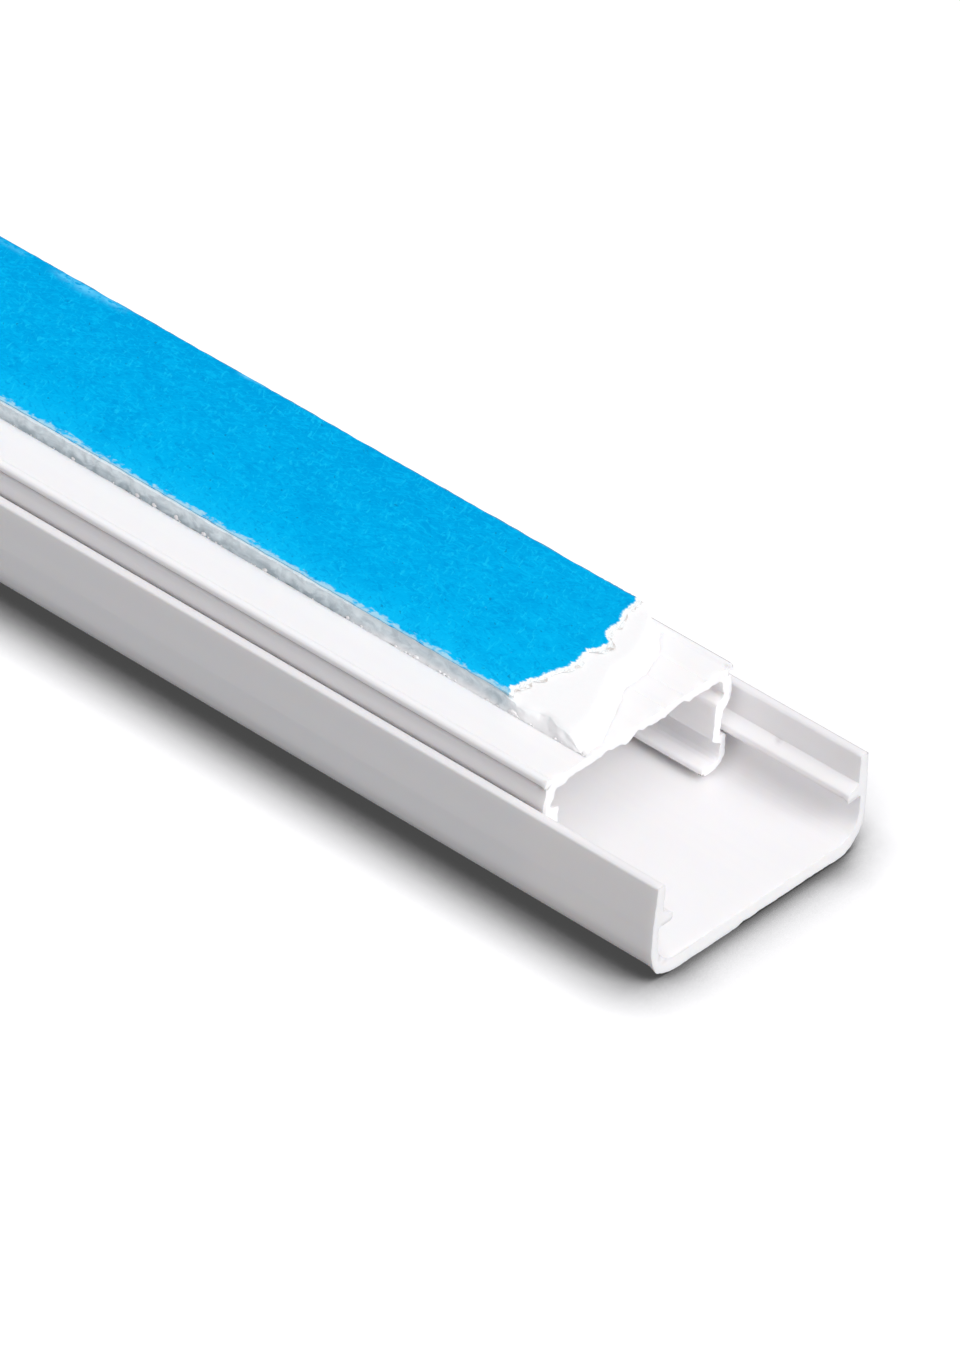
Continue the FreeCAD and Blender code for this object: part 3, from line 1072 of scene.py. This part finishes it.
    def darken_with_painted_shade(self, mesh: bmesh.types.BMesh, extent: Extent) -> None:
        """Paint shade in the undercuts, under the hooks' tips, low on the bows and on the far arris.

        Args:
            mesh: The base's mesh, with its attribute of grime and painted shade.
            extent: The base's extent.
        """
        grime_and_shade = mesh.verts.layers.float["grime_and_shade"]
        neck = self.half_back - self.lip_reach
        point = neck - self.groove_depth + self.shelf_reach - self.hook_curl
        bottom = self.upper_leg + self.groove_flank + self.groove_height + self.hook_height
        bow_from, bow_to = self.bow_shade_band
        for vert in mesh.verts:
            across = abs(vert.co.y - extent.middle.y)
            down = extent.high.z - vert.co.z
            in_undercut = neck - self.undercut - 0.1 < across < neck - 0.12
            if in_undercut and 0.6 < down < self.lip_height + 0.3:
                vert[grime_and_shade] = max(vert[grime_and_shade], self.undercut_painted_shade)
            if across < point + 0.12 and down > bottom - 0.19:
                vert[grime_and_shade] = max(vert[grime_and_shade], self.hook_painted_shadow)
            low_on_bow = min(1.0, (down - bow_from) / (bow_to - bow_from))
            if low_on_bow > 0 and down < self.upper_leg and across > neck - 0.1:
                vert[grime_and_shade] = max(vert[grime_and_shade], self.bow_painted_shade * low_on_bow)
            if vert.co.y > extent.middle.y + self.half_back - 0.2 and down < self.lip_round:
                vert[grime_and_shade] = max(vert[grime_and_shade], self.arris_painted_shade)

    def draw_die_lines(self, mesh: bmesh.types.BMesh, level: float) -> None:
        """Scribe the fine lines that the die left along the back.

        Args:
            mesh: The base's mesh.
            level: How high the back is between its raised edges.
        """
        for line in self.die_lines:
            cut(mesh, 1, (line - self.die_line_width, line, line + self.die_line_width))
            for vert in mesh.verts:
                if abs(vert.co.y - line) < ON_FACE and abs(vert.co.z - level) < ON_FACE:
                    vert.co.z -= self.die_line_depth

    def build(self, pvc: bpy.types.Material) -> bpy.types.Object:
        """Make the base, in place of its CAD node.

        Args:
            pvc: What it is made of.

        Returns:
            The base's object.
        """
        extent = Extent.of("base")
        back = extent.high.z
        mesh = section_prism(self.section(back), extent.low.x, extent.high.x, extent.middle.y)
        cut(mesh, 1, steps(extent.low.y, extent.high.y, self.cell))
        cut(mesh, 2, steps(extent.low.z, extent.high.z, self.cell))
        self.draw_die_lines(mesh, back - self.edge_rise)
        rear = SawnEnd(extent.low.x, End.REAR)
        front = SawnEnd(extent.high.x, End.FRONT, fringe=0.09, tooth=0.3)
        cut(mesh, 0, rear.stations(False) + front.stations(True))
        rear.roughen(mesh)
        front.roughen(mesh)
        wear(mesh, self.nicks(extent.high.x, back))
        self.darken_with_painted_shade(mesh, extent)
        extent.hold(mesh)
        return finish_piece("base_channel", mesh, [pvc], Body.BASE, ["base"])


@dataclass
class TapeStrip:
    """The adhesive tape on the base's back, with its worn front end and its beads of glue.

    The lines are given as (place, value): the front line by places across, the near side's lines
    by distances back from the base's front end.
    """

    zone: float = 13.0
    visible: float = 60.0
    edge_relief: float = 0.15
    edge_inset: float = 0.3
    slope: float = 0.5
    side_roughness: float = 0.05
    side_slope: float = 0.16
    slit_ends: tuple[float, float] = (7.2, 5.6)
    slit_margin: float = 0.2
    front_slit: float = 0.12
    front_round: tuple[float, float] = (1.2, 0.45)
    front_thinning: tuple[float, float, float] = (8.2, 7.0, 0.08)
    near_round: float = 1.1
    flare: float = 0.3
    flare_height: float = 0.45
    fine_cell: float = 0.2
    layer: float = 0.125
    bead_count: int = 70
    bead_sizes: tuple[float, float] = (0.04, 0.1)
    bead_stretch: tuple[float, float] = (1.0, 1.8)
    large_beads: tuple[tuple[float, float], ...] = (
        (152.7, 0.2), (154.1, 0.22), (156.0, 0.24), (158.3, 0.18), (147.2, 0.15), (163.5, 0.16),
        (170.4, 0.15), (176.0, 0.13), (183.9, 0.2),
    )
    seed: int = 11
    front_line: tuple[tuple[float, float], ...] = (
        (-5.15, 0.12), (-3.2, 0.35), (-0.8, 1.5), (2.0, 3.0), (4.3, 3.1), (6.2, 4.0), (7.7, 5.1), (8.1, 5.9),
        (8.35, 6.8),
    )
    near_recess: tuple[tuple[float, float], ...] = (
        (0.0, 0.05), (0.7, 0.06), (1.6, 0.1), (2.6, 0.22), (3.2, 0.38), (3.7, 0.55), (4.2, 0.55), (4.8, 0.3),
        (5.3, 0.12), (5.8, 0.05), (7.0, 0.0),
    )
    near_drop: tuple[tuple[float, float], ...] = (
        (0.0, 0.62), (0.7, 0.48), (1.3, 0.34), (2.4, 0.2), (3.4, 0.15), (4.2, 0.22), (5.0, 0.3), (5.8, 0.32),
        (6.3, 0.15), (7.0, 0.03), (9.0, 0.0),
    )
    near_flare: tuple[tuple[float, float], ...] = ((5.4, 0.0), (8.0, 1.0), (16.0, 1.0), (21.0, 0.0))

    def lay(self, mesh: bmesh.types.BMesh, extent: Extent) -> None:
        """Bring the front to its worn line, round it, and roughen the sides.

        Args:
            mesh: The tape's mesh, a cut block as long as the base.
            extent: The block's extent.
        """
        width, depth = self.front_round
        slit = mesh.verts.layers.float.new("slit")
        thin_from, thin_to, thinning = self.front_thinning
        slit_from, slit_to = self.slit_ends
        for vert in mesh.verts:
            spot = vert.co.copy()
            rise = (spot.z - extent.low.z) / (extent.high.z - extent.low.z)
            # The front end: its line across, its rounded top and its thinner skin
            share = max(0.0, 1 - (extent.high.x - spot.x) / self.zone)
            ragged = 0.12 * wobble(spot, 0.9) + 0.05 * wobble(spot, 0.25)
            short = follow(self.front_line, spot.y) + 0.3 + ragged + self.slope * (rise - 0.5)
            vert.co.x -= share * max(0.0, short)
            vert.co.z -= rise * depth * max(0.0, 1 - (extent.high.x - spot.x) / width) ** 2
            back = extent.high.x - vert.co.x
            thinned = min(1.0, max(0.0, (thin_from - back) / (thin_from - thin_to)))
            vert.co.z -= rise * thinning * thinned
            # The near side: its slope, the hollow pressed into it and its spread foot
            near = max(0.0, 1 - (spot.y - extent.low.y) / self.near_round)
            vert.co.y += near * rise * (self.side_slope + follow(self.near_recess, back))
            vert.co.z -= near ** 2 * rise * follow(self.near_drop, back)
            flare = follow(self.near_flare, back)
            climb = min(1.0, rise / self.flare_height)
            vert.co.y += near * self.flare * flare * climb
            # The slit side's painted shade and tint: full behind the front, faint at the front end, and
            # hardly any on the spread foot
            if spot.y < extent.low.y + self.slit_margin:
                behind = (back - slit_to) / (slit_from - slit_to)
                milky = (1 - climb) * flare
                vert[slit] = min(1.0, max(self.front_slit * min(1.0, back / 1.5), behind)) * (1 - 0.9 * milky)
            if spot.y < extent.low.y + ON_FACE:
                vert.co.y += self.side_roughness * (wobble(spot, 0.5, 3.0) + 0.7 * wobble(spot, 0.18, 4.0))
            # The far foot clears the base's raised edge
            if rise < 0.01 and spot.y > extent.high.y - self.edge_inset - ON_FACE:
                vert.co.z += self.edge_relief

    def drop_glue(self, mesh: bmesh.types.BMesh, extent: Extent) -> None:
        """Set small beads of squeezed-out glue along the tape's near foot.

        Args:
            mesh: The tape's mesh, which takes the beads.
            extent: The tape's extent.
        """
        draw = random.Random(self.seed)
        small = [(extent.high.x - draw.uniform(0.3, self.visible), draw.uniform(*self.bead_sizes))
                 for _ in range(self.bead_count)]
        for along, size in [*self.large_beads, *small]:
            place = Vector((along, extent.low.y + size * 0.7, extent.low.z + size * 0.6))
            bead = bmesh.ops.create_icosphere(mesh, subdivisions=2, radius=size)
            bmesh.ops.scale(mesh, verts=bead["verts"], vec=(draw.uniform(*self.bead_stretch), 1.0, 0.9))
            bmesh.ops.translate(mesh, verts=bead["verts"], vec=place)

    def build(self, foam: bpy.types.Material) -> bpy.types.Object:
        """Make the tape, in place of its CAD node.

        Args:
            foam: What it is made of.

        Returns:
            The tape's object.
        """
        extent = Extent.of("adhesive_tape")
        low, high = extent.low.copy(), extent.high.copy()
        high.x = Extent.of("base").high.x
        seen_from = high.x - self.visible
        relief = high.y - self.edge_inset
        mesh = block(low, high)
        cut(mesh, 2, steps(low.z, high.z, self.layer))
        cut(mesh, 1, [low.y + 0.03] + steps(low.y, low.y + 1.6, 0.16) + steps(low.y + 1.6, relief, 0.35))
        cut(mesh, 1, [relief - 0.002, relief])
        cut(mesh, 0, steps(low.x, seen_from, 3.0) + steps(seen_from, high.x, self.fine_cell))
        self.lay(mesh, Extent(low, high))
        self.drop_glue(mesh, Extent(low, high))
        extent.hold(mesh)
        return finish_piece("adhesive_tape_strip", mesh, [foam], Body.BASE, ["adhesive_tape"])


@dataclass
class ReleaseLiner:
    """What is left of the release liner on the tape, torn across near the front.

    A scuff is given by its place along and across, and its length and width. The torn line is
    given as (across, distance back from the base's front end).
    """

    zone: float = 11.0
    visible: float = 60.0
    core_width: float = 0.42
    curl: float = 0.03
    curl_reach: float = 2.0
    core_thinning: float = 0.05
    edge_wander: float = 0.045
    edge_reach: float = 0.6
    near_margin: float = 0.06
    scuffs: tuple[tuple[float, float, float, float], ...] = (
        (134.3, 8.0, 0.9, 0.32), (135.9, 8.0, 1.2, 0.4), (138.0, 8.1, 1.1, 0.3), (149.6, 8.25, 0.5, 0.14),
        (150.6, 8.3, 0.4, 0.1), (129.8, 7.95, 0.6, 0.2),
    )
    torn_line: tuple[tuple[float, float], ...] = (
        (-5.1, 6.5), (-4.2, 7.05), (-3.5, 6.95), (-2.9, 6.8), (-1.9, 6.5), (-0.9, 6.35), (-0.1, 6.02),
        (0.8, 6.15), (2.0, 6.33), (2.6, 6.04), (3.5, 5.82), (3.95, 6.53), (4.6, 6.94), (5.6, 6.86),
        (6.3, 7.29), (7.0, 7.47), (8.4, 7.6),
    )

    def tear(self, mesh: bmesh.types.BMesh, extent: Extent) -> None:
        """Bring the front to the torn line, and note the scuffs and how far points lie past the coat.

        Args:
            mesh: The liner's mesh, a cut block as long as the base.
            extent: The block's extent.
        """
        past_coat = mesh.verts.layers.float.new("past_coat")
        scuff = mesh.verts.layers.float.new("scuff")
        for vert in mesh.verts:
            spot = vert.co.copy()
            # The coat ends on the ragged line, and the core a little past it
            share = max(0.0, 1 - (extent.high.x - spot.x) / self.zone)
            flat = Vector((0.0, spot.y, 0.0))
            jag = 0.1 * wobble(flat, 0.5) + 0.07 * wobble(flat, 0.2, 3.0)
            width = self.core_width * (1 + 0.5 * wobble(flat, 0.6, 6.0))
            coat = extent.high.x - follow(self.torn_line, spot.y) + jag
            vert.co.x += share * (coat + width + 0.03 * wobble(spot, 0.1, 8.0) - extent.high.x)
            past = vert.co.x - coat
            vert[past_coat] = min(max(past, -1.0), 1.0)
            # The core is thinner than the paper, and the paper lies flatter away from the tear
            lift = max(0.0, 1 + past / self.curl_reach)
            rise = (spot.z - extent.low.z) / (extent.high.z - extent.low.z)
            vert.co.z -= rise * self.core_thinning * min(1.0, max(0.0, past / width + 0.2))
            vert.co.z -= rise * self.curl * (1 - min(1.0, lift))
            # The long edges wander
            side = 1 if spot.y > extent.middle.y else -1
            edge_line = extent.high.y if side > 0 else extent.low.y
            edge = max(0.0, 1 - abs(spot.y - edge_line) / self.edge_reach)
            along = Vector((spot.x, 0, 0))
            wander = 0.6 * wobble(along, 3.0, side) + 0.8 * wobble(along, 0.7, 4.0 * side) - 0.9 * side
            margin = self.near_margin if side < 0 else 0.0
            vert.co.y += edge * (margin + self.edge_wander * wander)
            rubs = [((spot.x - place) / long) ** 2 + ((spot.y - across) / wide) ** 2
                    for place, across, long, wide in self.scuffs]
            vert[scuff] = math.exp(-min(rubs))

    def build(self, coat: bpy.types.Material, core: bpy.types.Material) -> bpy.types.Object:
        """Make the liner, in place of its CAD node.

        Args:
            coat: The finish of its coated face and edges.
            core: The finish of its torn end.

        Returns:
            The liner's object.
        """
        extent = Extent.of("release_liner")
        low, high = extent.low.copy(), extent.high.copy()
        high.x = Extent.of("base").high.x
        seen_from = high.x - self.visible
        torn_from = high.x - self.zone
        mesh = block(low, high)
        cut(mesh, 2, [extent.middle.z])
        cut(mesh, 1, steps(low.y, high.y, 0.12))
        cut(mesh, 0, steps(low.x, seen_from, 8.0) + steps(seen_from, torn_from, 0.35))
        cut(mesh, 0, steps(torn_from, high.x, 0.2))
        self.tear(mesh, Extent(low, high))
        mesh.normal_update()
        for face in mesh.faces:
            face.material_index = 1 if face.normal.x > 0.5 else 0
        Extent(low, high).hold(mesh)
        return finish_piece("torn_release_liner", mesh, [coat, core], Body.BASE,
                            ["release_liner"])


# Studio


@dataclass(frozen=True)
class SoftLamp:
    """A broad distant lamp: where it stands as seen from the piece, its strength and its size."""

    name: str
    toward: tuple[float, float, float]
    strength: float
    softness: float

    def build(self) -> None:
        """Hang the lamp."""
        data = bpy.data.lights.new(self.name, "SUN")
        data.energy = self.strength
        data.angle = math.radians(self.softness)
        lamp = bpy.data.objects.new(self.name, data)
        lamp.rotation_mode = "QUATERNION"
        lamp.rotation_quaternion = Vector(self.toward).to_track_quat("Z", "Y")
        bpy.context.scene.collection.objects.link(lamp)


@dataclass
class Studio:
    """The floor, the light and the camera at the photo's angle, in millimetres and degrees."""

    look_at: tuple[float, float, float] = (181.16, -5.09, 10.72)
    azimuth: float = 39.17
    elevation: float = 36.58
    roll: float = 4.18
    distance: float = 657.0
    lens: float = 287.9
    floor_size: float = 60000.0
    floor_gap: float = 0.004
    lamps: tuple[SoftLamp, ...] = (
        SoftLamp("overhead_fill", (0.36, -0.12, 1.0), 0.6, 40.0),
        SoftLamp("front_key", (1.0, -0.06, 0.75), 2.16, 45.0),
    )
    sky_level: float = 0.41
    sky_colour: str = "FBFAFF"

    def set_floor(self) -> None:
        """Lay the floor just under the show face."""
        mesh = bmesh.new()
        bmesh.ops.create_grid(mesh, x_segments=1, y_segments=1, size=self.floor_size * MM / 2)
        bmesh.ops.translate(mesh, verts=mesh.verts[:], vec=(0, 0, -self.floor_gap * MM))
        data = bpy.data.meshes.new("floor")
        mesh.to_mesh(data)
        mesh.free()
        floor = bpy.data.objects.new("floor", data)
        data.materials.append(StudioFloor().build())
        bpy.context.scene.collection.objects.link(floor)

    def set_lights(self) -> None:
        """Set up the lamps and an even sky that mirrors as white."""
        for lamp in self.lamps:
            lamp.build()
        world = bpy.data.worlds.new("sky")
        bpy.context.scene.world = world
        world.use_nodes = True
        tree = world.node_tree
        tree.nodes.clear()
        rays = add_node(tree, "LightPath").node.outputs
        shown = rays["Is Camera Ray"]
        for kind in ("Is Glossy Ray", "Is Transmission Ray"):
            shown = add_node(tree, "Math", {0: shown, 1: rays[kind]}, operation="MAXIMUM")
        level = rescale(tree, shown, (0.0, 1.0), (self.sky_level, 1.0), Ease.STRAIGHT)
        tint = paint(tree, linear(self.sky_colour), [(shown, linear("FFFFFF"))])
        sky = add_node(tree, "Background", {"Color": tint, "Strength": level})
        add_node(tree, "OutputWorld", {"Surface": sky})

    def set_camera(self) -> None:
        """Stand the camera where the photo was taken from."""
        turn, tilt, roll = (math.radians(angle) for angle in (self.azimuth, self.elevation, self.roll))
        back = Vector((math.sin(turn) * math.cos(tilt), -math.cos(turn) * math.cos(tilt), math.sin(tilt)))
        data = bpy.data.cameras.new("camera")
        data.lens = self.lens
        data.clip_start, data.clip_end = 0.01, 100.0
        camera = bpy.data.objects.new("camera", data)
        camera.location = (Vector(self.look_at) + back * self.distance) * MM
        camera.rotation_mode = "QUATERNION"
        camera.rotation_quaternion = Quaternion(back, roll) @ back.to_track_quat("Z", "Y")
        bpy.context.scene.collection.objects.link(camera)
        bpy.context.scene.camera = camera

    def build(self) -> None:
        """Set up the studio."""
        self.set_floor()
        self.set_lights()
        self.set_camera()
        bpy.context.scene.view_settings.view_transform = "Standard"


def main() -> None:
    """Build the studio and then the pieces in order."""
    Studio().build()
    CoverChannel().build(ExtrudedPvc("extruded_pvc_cover").build())
    BaseChannel().build(ExtrudedPvc("extruded_pvc_base", colour="FDFBFC").build())
    TapeStrip().build(FoamTape(Extent.of("adhesive_tape").low.z).build())
    liner = Extent.of("release_liner")
    core = PaperCore()
    coat = BlueReleasePaper(core, liner.low.y, liner.high.y)
    ReleaseLiner().build(coat.build(), core.build())


if __name__ == "__main__":
    logging.basicConfig(level=logging.INFO, format="%(message)s")
    main()
